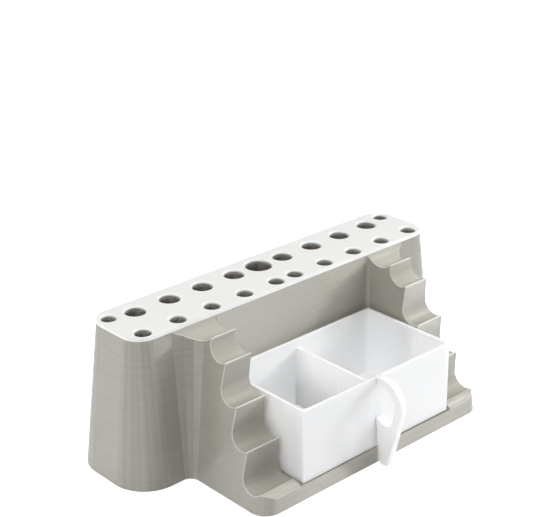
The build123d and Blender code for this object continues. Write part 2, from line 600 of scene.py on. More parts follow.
@dataclass(frozen=True)
class PrintFinish:
    """Printed plastic: stacked beads of one colour, with a little difference from layer to layer.

    Attributes:
        name: the material's name.
        colour: the plastic's own colour.
        edge_highlight: a lighter colour along rounded edges, a painted highlight.
        hollow: a darker colour painted down in the holes as shade.
        axis: the axis along which the layers were stacked.
        layer: height of one layer in millimetres.
        layer_start: how far the layers are set off from the origin, in layers.
        ridge: height of a bead above the groove beside it in millimetres.
        unevenness: how much layers differ in height, over a bead's.
        grain: height of the fine grain, over a bead's.
        grain_scale: grains in a metre.
        waver: how far a bead wanders, in layers.
        waver_scale: such wanderings in a metre.
        roughness: roughness of a bead.
        dulling: how much the roughness wanders over the surface.
        mottle: how much the colour wanders over the surface.
        cloud_scale: clouds in a metre, which both of these follow.
        cloud_detail: how finely the clouds are broken up.
        banding: how much the colour differs from layer to layer.
        band_layers: layers that were printed at one go and share a tone.
        ior: the plastic's index of refraction.
        glow: share of light that spreads inside the plastic.
        glow_marked: whether the piece's own glow mark gives that share instead.
        glow_depth: how far that light travels, in millimetres.
        glow_tint: how far its red, green and blue travel, over that depth.
    """

    name: str
    colour: Triple
    edge_highlight: Triple
    hollow: Triple = (0.085, 0.07, 0.05)
    axis: LayerAxis = LayerAxis.Z
    layer: float = 0.2
    layer_start: float = 0.65
    ridge: float = 0.045
    unevenness: float = 0.5
    grain: float = 0.25
    grain_scale: float = 1400.0
    waver: float = 0.2
    waver_scale: float = 35.0
    roughness: float = 0.37
    dulling: float = 0.2
    mottle: float = 0.08
    cloud_scale: float = 28.0
    cloud_detail: float = 4.0
    banding: float = 0.06
    band_layers: int = 5
    ior: float = 1.54
    glow: float = 0.0
    glow_marked: bool = False
    glow_depth: float = 5.0
    glow_tint: Triple = (1.0, 0.9, 0.8)

    def material(self) -> bpy.types.Material:
        """Builds the node material from the place along the stacking axis, counted in layers.

        Returns:
            The finished material.
        """
        made = bpy.data.materials.new(self.name)
        made.use_nodes = True
        graph = Graph(made.node_tree)
        output = graph.node("ShaderNodeOutputMaterial")
        shader = graph.node("ShaderNodeBsdfPrincipled")
        graph.join(shader.outputs["BSDF"], output.inputs["Surface"])
        where = graph.node("ShaderNodeTexCoord").outputs["Object"]
        split = graph.node("ShaderNodeSeparateXYZ")
        graph.join(where, split.inputs[0])
        place = graph.math("DIVIDE", split.outputs[self.axis.value], self.layer * MM)
        place = graph.math("ADD", place, self.layer_start)
        own = graph.chance(place)
        cloud = graph.math("SUBTRACT", graph.noise(where, self.cloud_scale, self.cloud_detail), MEAN_CHANCE)

        normal = self.beads(graph, where, place, own)
        colour = self.tinted(graph, place, own, cloud)
        rough = graph.math("ADD", graph.math("MULTIPLY", cloud, self.dulling), self.roughness)
        graph.feed(shader, {"Normal": normal, "Base Color": colour, "Roughness": rough, "IOR": self.ior})
        if self.glow:
            share = graph.mark(Mark.GLOW) if self.glow_marked else self.glow
            graph.feed(shader, {"Subsurface Weight": share, "Subsurface Radius": self.glow_tint,
                                "Subsurface Scale": self.glow_depth * MM})
        return made

    def beads(self, graph: Graph, where: Socket, place: Socket, own: Socket) -> Socket:
        """Adds the bump of the layers: the absolute sine of the place in layers, with a waver and a grain.

        Args:
            graph: the material's nodes.
            where: the place on the piece.
            place: the place along the stacking axis, in layers.
            own: each layer's random number, which shifts its height.

        Returns:
            The bumped normal.
        """
        waver = graph.math("MULTIPLY", graph.noise(where, self.waver_scale), self.waver)
        swing = graph.math("MULTIPLY", graph.math("ADD", place, waver), math.pi)
        height = graph.math("ABSOLUTE", graph.math("SINE", swing))
        height = graph.math("ADD", height, graph.math("MULTIPLY", own, self.unevenness))
        grain = graph.math("MULTIPLY", graph.noise(where, self.grain_scale), self.grain)
        bump = graph.node("ShaderNodeBump")
        height = graph.math("ADD", height, grain)
        graph.feed(bump, {"Strength": 1.0, "Distance": self.ridge * MM, "Height": height})
        return bump.outputs["Normal"]

    def tinted(self, graph: Graph, place: Socket, own: Socket, cloud: Socket) -> Socket:
        """Adds the colour: a painted highlight at rims, painted shade in the holes, times one plus the tones
        of layers and clouds and each face's tone and painted light.

        Args:
            graph: the material's nodes.
            place: the place along the stacking axis, in layers.
            own: each layer's random number.
            cloud: the wandering tone, about zero.

        Returns:
            The colour.
        """
        band = graph.chance(graph.math("DIVIDE", place, self.band_layers))
        layers = graph.math("SUBTRACT", graph.math("ADD", own, band), 2.0 * MEAN_CHANCE)
        shade = graph.math("MULTIPLY", cloud, 2.0 * self.mottle)
        tone = graph.math("ADD", graph.math("MULTIPLY", layers, self.banding), shade)
        # Adds each face's tone, which carries painted light and painted shade on chosen faces
        tone = graph.math("ADD", graph.math("ADD", tone, graph.mark(Mark.TONE_AND_PAINTED_LIGHT)), 1.0)
        colour = graph.mixed((*self.colour, 1.0), self.edge_highlight, graph.mark(Mark.EDGE_HIGHLIGHT))
        # Mixes in the painted shade down in the holes
        colour = graph.mixed(colour, self.hollow, graph.mark(Mark.HOLE_PAINTED_SHADE))
        toned = graph.node("ShaderNodeVectorMath", operation="SCALE")
        graph.join(colour, toned.inputs[0])
        graph.join(tone, toned.inputs["Scale"])
        return toned.outputs[0]


# The second colour of each finish is its painted highlight along rounded edges
GREY_PRINT = PrintFinish(
    "grey_print_layers", (0.44, 0.425, 0.372), (0.74, 0.72, 0.67),
    ridge=0.075, roughness=0.19, dulling=0.15, banding=0.04)
# The cap is the tray's white print made darker, painted shade because its top faces the lamps
SHADED_WHITE_CAP = PrintFinish(
    "white_cap_painted_shade", (0.775, 0.775, 0.765), (0.91, 0.91, 0.89), ridge=0.02, mottle=0.02, banding=0.02)
WHITE_TRAY = PrintFinish(
    "white_tray_layers", (0.969, 0.974, 0.98), (0.969, 0.974, 0.98), axis=LayerAxis.Y,
    ridge=0.012, mottle=0.02, banding=0.03, glow=1.0, glow_marked=True)
WHITE_HANDLE = PrintFinish(
    "white_handle_layers", (0.98, 0.98, 0.98), (0.98, 0.98, 0.98), axis=LayerAxis.X,
    ridge=0.012, mottle=0.02, banding=0.03, glow=0.4, glow_depth=2.0)


def dress(piece: bpy.types.Object, finish: PrintFinish, body: str, slot: str, *nodes: str) -> None:
    """Gives a piece its finish and says which body carries it and which CAD nodes it stands for.

    Args:
        piece: the new object.
        finish: what it is made of.
        body: the CAD body it rides on.
        slot: not used.
        nodes: the CAD nodes it replaces.
    """
    made = bpy.data.materials.get(finish.name) or finish.material()
    piece.data.materials.append(made)
    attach(piece, body)
    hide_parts(*nodes)


@dataclass(frozen=True)
class HolePattern:
    """The round holes: a back row, wide in the middle and slim at the ends, and an even front row."""

    row: float = 9.8
    pitch: float = TRAY_WIDTH * PITCH_SHARE
    back_first: float = 16.0
    front_first: float = 6.1
    front_end_margin: float = 8.5
    end_step: float = 13.3
    end_setback: float = 2.6
    end_margin: float = 6.1
    wide: float = 13.4
    back: float = 10.1
    front: float = 8.0
    end: float = 7.2
    steps: int = 4
    segments: int = 64

    @property
    def end_x(self) -> float:
        """Where the slim end hole stands."""
        return self.back_first + (self.steps - 1) * self.pitch + self.end_step

    @property
    def half_length(self) -> float:
        """Half the length of the cap."""
        return self.end_x + self.end_margin

    def circles(self) -> list[tuple[Array, float]]:
        """Centre and radius of every hole.

        Returns:
            Pairs of a plan point and a radius.
        """
        front_pitch = (self.half_length - self.front_end_margin - self.front_first) / self.steps
        right = [(self.back_first + n * self.pitch, self.row, self.back) for n in range(self.steps)]
        right += [(self.end_x, self.row + self.end_setback, self.end)]
        right += [(self.front_first + n * front_pitch, -self.row, self.front) for n in range(self.steps + 1)]
        left = [(-x, y, across) for x, y, across in right]
        every = [(0.0, self.row, self.wide), *right, *left]
        return [(np.array([x, y]), across / 2) for x, y, across in every]


@dataclass(frozen=True)
class MainOutline:
    """Plan outline of the main block and its cap, as it stands at the very top, and its draft below that."""

    holes: HolePattern = HolePattern()
    top: float = 74.1
    slope: float = math.tan(math.radians(6.4))
    back: float = 20.2
    front: float = -16.0
    corner_radius: float = 10.0
    facets: int = 18

    def spread(self, level: float) -> float:
        """How far the outline at a level stands outside the outline at the top."""
        return (self.top - level) * self.slope

    def right_half(self, level: float, last_x: float) -> Array:
        """Half the outline at one level: straight sides and two corners, each cut into flat facets.

        Args:
            level: the height.
            last_x: where the front side is left.

        Returns:
            Plan points from the middle of the back, round the right end, to the front.
        """
        out = self.spread(level)
        radius = self.corner_radius + out
        x = self.holes.half_length - self.corner_radius
        turn = np.linspace(0.0, math.pi / 2, self.facets + 1)
        along, across = radius * np.cos(turn), radius * np.sin(turn)
        back = np.stack([x + along[::-1], self.back - self.corner_radius + across[::-1]], axis=-1)
        front = np.stack([x + along, self.front + self.corner_radius - across], axis=-1)
        return np.vstack([[(0.0, self.back + out)], back, front, [(last_x, self.front - out)]])


@dataclass
class Block:
    """The grey print: main block with blind holes, two scalloped wings and the bay's floor between them."""

    outline: MainOutline = field(default_factory=MainOutline)
    height: float = 72.5
    hole_floor: float = 12.0
    hole_rows: tuple[float, ...] = (0.0, 1.0, 2.0, 4.0)
    # Painted shade in the holes: its share at the mouth, and the depth over which it grows to full
    mouth_painted_shade: float = 0.6
    painted_shade_depth: float = 7.0
    floor: float = FLOOR
    bay_half: float = 50.9
    bay_corner: float = 2.0
    wing_thickness: float = 14.3
    nose_radius: float = 0.7
    root_radius: float = 4.9
    root_facets: int = 3
    # Painted shade on the root corner's facets, one tone for each facet
    root_painted_shade: tuple[float, ...] = (0.0, -0.02, -0.32, -0.11, 0.0)
    facet_bulge: float = 0.0008
    corner_tone: float = 0.1
    # Painted shade on the nook's front face beside each wing, ramped in over the front corner's facets
    nook_painted_shade: float = -0.14
    # Painted light on the bay's back wall, which is made lighter
    bay_painted_light: float = 0.18
    tray_reach: float = 57.6
    scallop_radius: float = 6.5
    lip_angle: float = math.radians(49.0)
    scallops: int = 4
    first_tip: tuple[float, float] = (25.9, 8.6)
    last_tip: tuple[float, float] = (5.2, 2.45)
    trough: float = 4.0
    nose_bulge: float = 0.5
    nose_steps: int = 200
    edge_radius: float = 0.45
    edge_fade: float = 3.0
    floor_edge_share: float = 0.3
    tip_radius: float = 0.4
    tip_reach: float = 0.5
    # Bend of a tip at which its painted highlight is full
    highlight_bend: float = 1.2
    lip_depth: float = 0.6
    lip_reach: float = 1.3
    lip_turn: float = math.radians(8.0)
    row_reach: float = 1.2
    across_shares: tuple[float, ...] = (0.02, 0.2, 0.5, 0.8, 0.98)
    arc_points: int = 9

    def __post_init__(self) -> None:
        """Works out the places that follow from the sizes."""
        self.slope = self.outline.slope
        spread = self.outline.spread(0.0)
        self.bay_back = self.outline.front - self.outline.spread(self.height)
        self.floor_front = self.bay_back - self.tray_reach
        self.base_front = self.floor_front - self.floor * self.slope
        self.side = self.bay_half + self.wing_thickness + spread
        self.nose_base = self.nose_radius + spread
        self.root = (self.side + self.root_radius, self.outline.front - spread - self.root_radius)
        self.nose = (self.side - self.nose_base, self.base_front + self.nose_base)

    def profile(self) -> Array:
        """Side view of a wing's upper face, as (y, z) at even steps with its tips rounded.

        A trough behind the top step, then for each step a straight riser that touches a circle, and the
        circle up to the next tip; at the end the nose, a parabola through its bulge, bends down to the front
        wall and runs a little way down it.

        Returns:
            The line, from the trough's back edge to the front wall.
        """
        last = np.array((self.base_front + self.last_tip[0], self.floor + self.last_tip[1]))
        first = np.array((self.bay_back - self.first_tip[0], self.height - self.first_tip[1]))
        share = np.arange(-1, self.scallops)[:, None] / (self.scallops - 1)
        tips = first + share * (last - first)
        lip = np.array([math.cos(self.lip_angle), math.sin(self.lip_angle)])
        centres = tips[1:] + self.scallop_radius * lip
        away = tips[:-1] - centres
        lean = np.arccos(self.scallop_radius / np.linalg.norm(away, axis=1))
        touch = np.arctan2(away[:, 1], away[:, 0]) - lean
        risers = centres + self.scallop_radius * np.stack([np.cos(touch), np.sin(touch)], axis=-1)
        cut = (self.height - risers[0, 1]) / (tips[0, 1] - risers[0, 1])
        crest = risers[0] + cut * (tips[0] - risers[0])

        half = (self.bay_back - crest[0]) / 2
        bend = (half ** 2 + self.trough ** 2) / (2 * self.trough)
        swing = math.asin(half / bend)
        middle = np.array((self.bay_back - half, self.height - self.trough + bend))
        parts = self.rounded_hollow(middle, bend, swing - math.pi / 2, crest, risers[0])
        for centre, start, tip, riser in zip(centres, touch, tips[1:], risers[1:]):
            parts += self.rounded_hollow(centre, self.scallop_radius, start, tip, riser)
        parts.append(arc(centres[-1], self.scallop_radius, touch[-1], self.lip_angle - math.pi))

        share = np.linspace(0.0, 1.0, self.nose_steps)[:, None]
        end = np.array((self.floor_front, self.floor))
        bulge = (last + end) / 2 + self.nose_bulge * np.array([-1.0, 1.0])
        parts.append((1 - share) * (1 - 2 * share) * last + 4 * share * (1 - share) * bulge
                     + share * (2 * share - 1) * end)
        parts.append(self.wall_foot())
        return soften(evenly(np.vstack(parts)), self.tip_reach)

    def rounded_hollow(self, centre: Array, radius: float, start: float, tip: Array,
                       ahead: Array) -> list[Array]:
        """A hollow arc and the rounded tip between it and the straight riser that follows.

        The tip's own circle touches the hollow circle from outside and the riser from behind: its centre lies
        on the riser moved back by the tip's radius, at the sum of both radii from the hollow's centre.

        Args:
            centre: the hollow circle's centre.
            radius: its radius.
            start: the angle at which it is entered.
            tip: the sharp tip.
            ahead: the riser's far end.

        Returns:
            The two arcs as rows of points.
        """
        along = (ahead - tip) / np.linalg.norm(ahead - tip)
        out = np.array([along[1], -along[0]])
        away = tip - self.tip_radius * out - centre
        half = float(np.dot(away, along))
        root = math.sqrt(half ** 2 - float(np.dot(away, away)) + (radius + self.tip_radius) ** 2)
        slide = min(-half + root, -half - root, key=abs)
        middle = centre + away + slide * along
        back = centre - middle
        first, last = math.atan2(back[1], back[0]), math.atan2(out[1], out[0])
        last += 2 * math.pi if last < first else 0.0
        hollow = arc(centre, radius, start, first - math.pi)
        return [hollow, arc(middle, self.tip_radius, first, last)]

    def wall_foot(self) -> Array:
        """The stretch of the drafted front wall just under the floor's front edge, as (y, z)."""
        low = (self.floor_front - self.lip_depth * self.slope, self.floor - self.lip_depth)
        return np.array([(self.floor_front, self.floor), low])

    def outer_edge(self, line: Array, corner: Array) -> tuple[Array, Array, Array]:
        """Where the profile meets the wing's outer wall.

        The wall's plan at a level is the base plan moved in by the slope times the level, so the hollow root
        corner grows and the nose corner shrinks on the way up. Both are cut into flat facets; the share along
        a corner is the depth into it over its radius.

        Args:
            line: profile points.
            corner: for each point -1 in the root corner, 1 in the nose corner and 0 on the flat side.

        Returns:
            The edge points, the wall's outward normals there, and the base points straight below in the wall.
        """
        y, z = line[:, 0], line[:, 1]
        is_root, is_nose = corner < 0, corner > 0

        def pick(root: Array, nose: Array, flat: Array | float) -> Array:
            """Takes each point's value from the corner it lies in, or from the flat side."""
            return np.where(is_root, root, np.where(is_nose, nose, flat))

        root_radius, nose_radius = self.root_radius + self.slope * z, self.nose_base - self.slope * z
        root_share = np.clip((y - self.root[1]) / root_radius, 0.0, 1.0)
        nose_share = np.clip((self.nose[1] - y) / nose_radius, 0.0, 1.0)
        root_cut = self.facet_depth(root_share, *self.root_edges(), -self.facet_bulge)
        nose_cut = self.facet_depth(nose_share, *self.nose_edges(), self.facet_bulge)
        x = pick(self.root[0] - root_radius * root_cut, self.nose[0] + nose_radius * nose_cut,
                 self.side - self.slope * z)
        base_x = pick(self.root[0] - self.root_radius * root_cut, self.nose[0] + self.nose_base * nose_cut,
                      self.side)
        base_y = pick(self.root[1] + self.root_radius * root_share,
                      self.nose[1] - self.nose_base * nose_share, y)
        inward = pick(root_share, nose_share, 0.0)
        plan = np.stack([np.sqrt(1.0 - inward ** 2), -inward], axis=-1)
        normal = at_level(plan, self.slope) / math.hypot(1.0, self.slope)
        return np.column_stack([x, line]), normal, np.column_stack([base_x, base_y, np.zeros(len(y))])

    def root_edges(self) -> tuple[Array, Array]:
        """Edges between the root's facets: a broken line whose sides touch the round root from behind.

        The edges lie at odd multiples of half a facet's turn, at the radius over that half turn's cosine. The
        first and last sides lie in the two walls that the root joins.

        Returns:
            Depth into the corner and distance from its centre, both over the radius.
        """
        half = math.pi / 4 / (self.root_facets + 1)
        turn = half * np.arange(1, 2 * self.root_facets + 2, 2)
        return np.r_[0.0, np.sin(turn) / math.cos(half)], np.r_[1.0, np.cos(turn) / math.cos(half)]

    def nose_edges(self) -> tuple[Array, Array]:
        """Edges between the nose's facets: sines and cosines of even angles."""
        turn = np.linspace(0.0, math.pi / 2, self.outline.facets + 1)
        return np.sin(turn), np.cos(turn)

    @staticmethod
    def facet_depth(share: Array, depths: Array, heights: Array, bulge: float) -> Array:
        """Height of a facetted corner at a depth into it: straight between the edges, with a slight bulge."""
        local = np.interp(share, depths, np.arange(len(depths))) % 1.0
        return np.interp(share, depths, heights) + bulge * local * (1.0 - local)

    def right_half(self, level: float) -> Array:
        """Half the main block's outline at a level, in space, as far as the root's last facet."""
        last_x = self.root[0] - (self.root_radius + self.slope * level) * self.root_edges()[1][-1]
        return at_level(self.outline.right_half(level, last_x), level)

    def inner_edge(self, line: Array) -> tuple[Array, Array]:
        """Where the profile meets the bay's upright side wall and its rounded back corner.

        Args:
            line: profile points.

        Returns:
            The edge points and the wall's normals there.
        """
        deep = np.clip(line[:, 0] - (self.bay_back - self.bay_corner), 0.0, self.bay_corner)
        across = np.sqrt(self.bay_corner ** 2 - deep ** 2)
        x = self.bay_half - self.bay_corner + across
        normal = np.column_stack([-across, -deep, np.zeros(len(deep))]) / self.bay_corner
        return np.column_stack([x, line]), normal

    def picks(self, line: Array) -> tuple[Array, int, int, int]:
        """Chooses the profile points that become rows of the mesh, with one at every facet's edge.

        Args:
            line: the even profile.

        Returns:
            The chosen indices, and which of them end the bay's corner, end the root corner and start the nose
            corner.
        """
        y, z = line[:, 0], line[:, 1]
        bay_end = int(np.argmax(y <= self.bay_back - self.bay_corner))
        root_end = int(np.argmax(y <= self.root[1]))
        nose_start = len(y) - int(np.argmax(y[::-1] > self.nose[1]))
        root_share = (y - self.root[1]) / (self.root_radius + self.slope * z)
        nose_share = (self.nose[1] - y) / (self.nose_base - self.slope * z)
        root_cuts = np.interp(self.root_edges()[0], root_share[root_end::-1], np.arange(root_end, -1, -1))
        nose_cuts = np.interp(self.nose_edges()[0], nose_share[nose_start:], np.arange(nose_start, len(y)))
        cuts = np.concatenate([root_cuts, nose_cuts, [0, bay_end, root_end, nose_start, len(y) - 1]])
        chosen = np.concatenate([key_points(line, self.row_reach), np.round(cuts).astype(int)])
        chosen = np.unique(chosen)
        return chosen, *(int(np.searchsorted(chosen, mark)) for mark in (bay_end, root_end, nose_start))

    def build(self) -> bpy.types.Object:
        """Builds the block's surface patch by patch.

        Returns:
            The finished piece.
        """
        shell = Shell()
        line = self.profile()
        chosen, bay_end, root_end, nose_start = self.picks(line)
        ahead = headings(line)[chosen]
        taper = edge_sizes(line, self.edge_radius)[chosen] * ease(chosen * DENSE / self.edge_fade)
        line = line[chosen]
        corner = np.zeros(len(line))
        corner[:root_end + 1] = -1
        corner[nose_start:] = 1
        top = np.column_stack([np.zeros(len(line)), ahead[:, 1], -ahead[:, 0]])
        outer, outer_normal, base = self.outer_edge(line, corner)
        inner, inner_normal = self.inner_edge(line)

        room = self.floor_edge_share * np.maximum(line[:, 1] - self.floor, 0.0)
        outer_band = round_edge(outer, outer_normal, top, taper, self.arc_points)
        inner_band = round_edge(inner, inner_normal, top, np.minimum(taper, room), self.arc_points)
        share = np.array(self.across_shares)[None, :, None]
        across = outer_band[:, -1:] + share * (inner_band[:, -1:] - outer_band[:, -1:])
        strip = np.concatenate([outer_band, across, inner_band[:, ::-1]], axis=1)
        shell.pair(strip, marks={Mark.EDGE_HIGHLIGHT: self.edge_highlight_weights(line, ahead)})

        self.add_walls(shell, strip, base, root_end, nose_start)
        self.add_bay(shell, strip, inner, bay_end)
        self.add_top(shell, strip)
        return shell.build("block_print")

    def edge_highlight_weights(self, line: Array, ahead: Array) -> Array:
        """Weights of the painted highlight on the strip: full in its two rounded edges and, by their bend,
        over the tips.

        Args:
            line: profile points of the rows.
            ahead: unit directions along the profile.

        Returns:
            Weights, rows by columns.
        """
        turn = ahead[:-2, 0] * ahead[2:, 1] - ahead[:-2, 1] * ahead[2:, 0]
        step = np.linalg.norm(line[2:] - line[:-2], axis=1)
        tip = np.concatenate([[0.0], np.clip(turn / step / self.highlight_bend, 0.0, 1.0), [0.0]])
        edge = crown(self.arc_points)
        columns = np.concatenate([edge, np.zeros(len(self.across_shares)), edge])
        inside = np.ones(len(columns))
        inside[[0, -1]] = 0.0
        return np.clip(columns[None, :] + tip[:, None] * inside[None, :], 0.0, 1.0)

    def add_walls(self, shell: Shell, strip: Array, base: Array, root_end: int, nose_start: int) -> None:
        """Adds the drafted outer walls and the base.

        Args:
            shell: the surface to add to.
            strip: grid of the wing's upper face, from the outer wall to the bay.
            base: base points below the outer edge.
            root_end: row where the root corner ends.
            nose_start: row where the nose corner starts.
        """
        low, high = self.right_half(0.0), self.right_half(self.height)
        facets = self.outline.facets
        sheen = self.scattered(len(low) - 1)
        # Painted shade: the front corner's facets darken towards the nook, whose front face is darkest
        sheen[-1 - facets:-1] += self.nook_painted_shade * np.sqrt(np.linspace(0.0, 1.0, facets))
        sheen[-1] = self.nook_painted_shade
        shell.pair(np.stack([low, high]), smooth=False, marks={Mark.TONE_AND_PAINTED_LIGHT: sheen})

        rim = strip[:, 0]
        deep = (base[:root_end + 1, 1] - self.root[1]) / self.root_radius
        facet = np.searchsorted(self.root_edges()[0], (deep[1:] + deep[:-1]) / 2) - 1
        # The root's facets get their painted shade
        shell.pair(np.stack([base[:root_end + 1], rim[:root_end + 1]]), smooth=False,
                   marks={Mark.TONE_AND_PAINTED_LIGHT: np.array(self.root_painted_shade)[facet]})
        deep = (self.nose[1] - base[nose_start:, 1]) / self.nose_base
        facet = np.searchsorted(self.nose_edges()[0], (deep[1:] + deep[:-1]) / 2)
        shell.pair(np.stack([base[nose_start:], rim[nose_start:]]), smooth=False,
                   marks={Mark.TONE_AND_PAINTED_LIGHT: self.scattered(facets + 2)[facet]})
        flat = np.vstack([rim[root_end:nose_start + 1, 1:], base[[nose_start, root_end], 1:]])
        shell.fill_pair(
            [flat], lambda spots: np.column_stack([self.side - self.slope * spots[:, 1], spots]))

        front = np.vstack([strip[-1], [[0.0, *strip[-1, 0, 1:]]]])
        foot = front * [1.0, 0.0, 0.0] + [0.0, self.base_front, 0.0]
        shell.pair(np.stack([foot, front]), smooth=False)
        border = np.vstack([low, base[:root_end + 1], base[nose_start:], foot])[:, :2]
        shell.fill([both_sides(border)], lambda spots: at_level(spots, 0.0))

    def scattered(self, count: int) -> Array:
        """Random tone of facets in a row: fractions of the golden ratio's multiples, scattered about zero."""
        return self.corner_tone * (np.arange(count) * GOLDEN % 1.0 - MEAN_CHANCE)

    def add_bay(self, shell: Shell, strip: Array, inner: Array, bay_end: int) -> None:
        """Adds the bay's side walls, back wall and floor.

        Args:
            shell: the surface to add to.
            strip: grid of the wing's upper face, from the outer wall to the bay.
            inner: edge points along the bay before rounding.
            bay_end: row where the bay's back corner ends.
        """
        rim = strip[:, -1]
        lip_start = self.floor_front + self.lip_reach
        lip = soften(evenly(np.vstack([[(lip_start, self.floor)], self.wall_foot()])), self.tip_reach)
        lip = lip[key_points(lip, self.row_reach, self.lip_turn)]
        across = (-self.bay_half, 0.0, self.bay_half)
        shell.grid(np.stack([at_side(lip, x) for x in across], axis=1))

        foot = inner[:bay_end + 1].copy()
        foot[:, 2] = self.floor
        shell.pair(np.stack([foot, rim[:bay_end + 1]]))
        side = np.vstack([rim[bay_end:, 1:], lip[-2::-1], foot[-1:, 1:]])
        shell.fill_pair([side], lambda spots: at_side(spots, self.bay_half))
        back = np.stack([foot[0], rim[0]])[:, None, :]
        # The bay's back wall gets painted light
        shell.grid(np.concatenate([back, back * MIRROR_X], axis=1), smooth=False,
                   marks={Mark.TONE_AND_PAINTED_LIGHT: np.full(1, self.bay_painted_light)})
        border = np.vstack([foot[:, :2], [(self.bay_half, lip_start), (0.0, lip_start)]])
        shell.fill([both_sides(border)], lambda spots: at_level(spots, self.floor))

    def add_top(self, shell: Shell, strip: Array) -> None:
        """Adds the top face under the cap, and the blind holes, whose walls get painted shade that grows with
        their depth.

        Args:
            shell: the surface to add to.
            strip: grid of the wing's upper face, from the outer wall to the bay.
        """
        border = np.vstack([self.right_half(self.height), strip[0]])[:, :2]
        count = self.outline.holes.segments
        rings = [centre + radius * ring(count) for centre, radius in self.outline.holes.circles()]
        shell.fill([both_sides(border), *rings], lambda spots: at_level(spots, self.height))
        depths = np.array([*self.hole_rows, self.height - self.hole_floor])
        # Painted shade on the bore walls, growing with depth
        deep = np.repeat(np.clip(self.mouth_painted_shade + depths / self.painted_shade_depth, 0.0, 1.0), count)
        for loop in rings:
            shell.grid(np.stack([at_level(loop, self.height - depth) for depth in depths]), closed=True,
                       marks={Mark.HOLE_PAINTED_SHADE: deep})
            shell.fill([loop], lambda spots: at_level(spots, self.hole_floor))


@dataclass
class Cap:
    """The thin white cap on the block, with a rounded upper edge and rounded rims round its holes."""

    outline: MainOutline = field(default_factory=MainOutline)
    thickness: float = 1.6
    edge_radius: float = 0.4
    # Share of the painted highlight along the cap's upper edge
    edge_highlight_share: float = 0.25
    # Painted light on the cap's drafted side, so it shows as bright as the top
    side_painted_light: float = 0.2
    rim_radius: float = 1.0
    arc_points: int = 9

    def build(self) -> bpy.types.Object:
        """Builds the drafted side, the two faces and the holes.

        A hole's rim is a quarter of a ring. An angle runs from the upper face into the hole: the hole is
        wider by the rim's radius times one less its sine, and lies lower by that radius times one less its
        cosine.

        Returns:
            The finished piece.
        """
        shell = Shell()
        outline, edge = self.outline, crown(self.arc_points)[:, None]
        level, bottom = outline.top, outline.top - self.thickness
        high = both_sides(outline.right_half(level, 0.0))
        low = at_level(both_sides(outline.right_half(bottom, 0.0)), bottom)
        ahead = headings(high, closed=True)
        out = np.column_stack([-ahead[:, 1], ahead[:, 0], np.full(len(high), outline.slope)])
        out[:, :2] *= np.where(np.sum(out[:, :2] * high, axis=1, keepdims=True) < 0, -1.0, 1.0)
        out /= np.linalg.norm(out, axis=1, keepdims=True)
        up, radius = np.broadcast_to(UP, out.shape), np.full(len(high), self.edge_radius)
        rows = round_edge(at_level(high, level), out, up, radius, self.arc_points).transpose(1, 0, 2)
        weights = self.edge_highlight_share * np.broadcast_to(edge, rows.shape[:2])
        shell.grid(rows, closed=True, marks={Mark.EDGE_HIGHLIGHT: weights})
        # The drafted side gets painted light
        shell.grid(np.stack([low, rows[0]]), smooth=False, closed=True,
                   marks={Mark.TONE_AND_PAINTED_LIGHT: np.full(len(low), self.side_painted_light)})

        mouths, bores = [], []
        swing = np.linspace(0.0, math.pi / 2, self.arc_points)
        drops = level - self.rim_radius * (1.0 - np.cos(swing))
        unit = ring(outline.holes.segments)
        for centre, radius in outline.holes.circles():
            sizes = radius + self.rim_radius * (1.0 - np.sin(swing))
            plan = sizes[:, None, None] * unit[None] + centre
            lip = at_levels(plan, drops)
            # The hole rims get the painted highlight
            shell.grid(lip, closed=True, marks={Mark.EDGE_HIGHLIGHT: np.broadcast_to(edge, lip.shape[:2])})
            shell.grid(np.stack([lip[-1], at_level(plan[-1], bottom)]), closed=True)
            mouths.append(plan[0])
            bores.append(plan[-1])
        shell.fill([rows[-1, :, :2], *mouths], lambda spots: at_level(spots, level))
        shell.fill([low[:, :2], *bores], lambda spots: at_level(spots, bottom))
        return shell.build("cap_print")


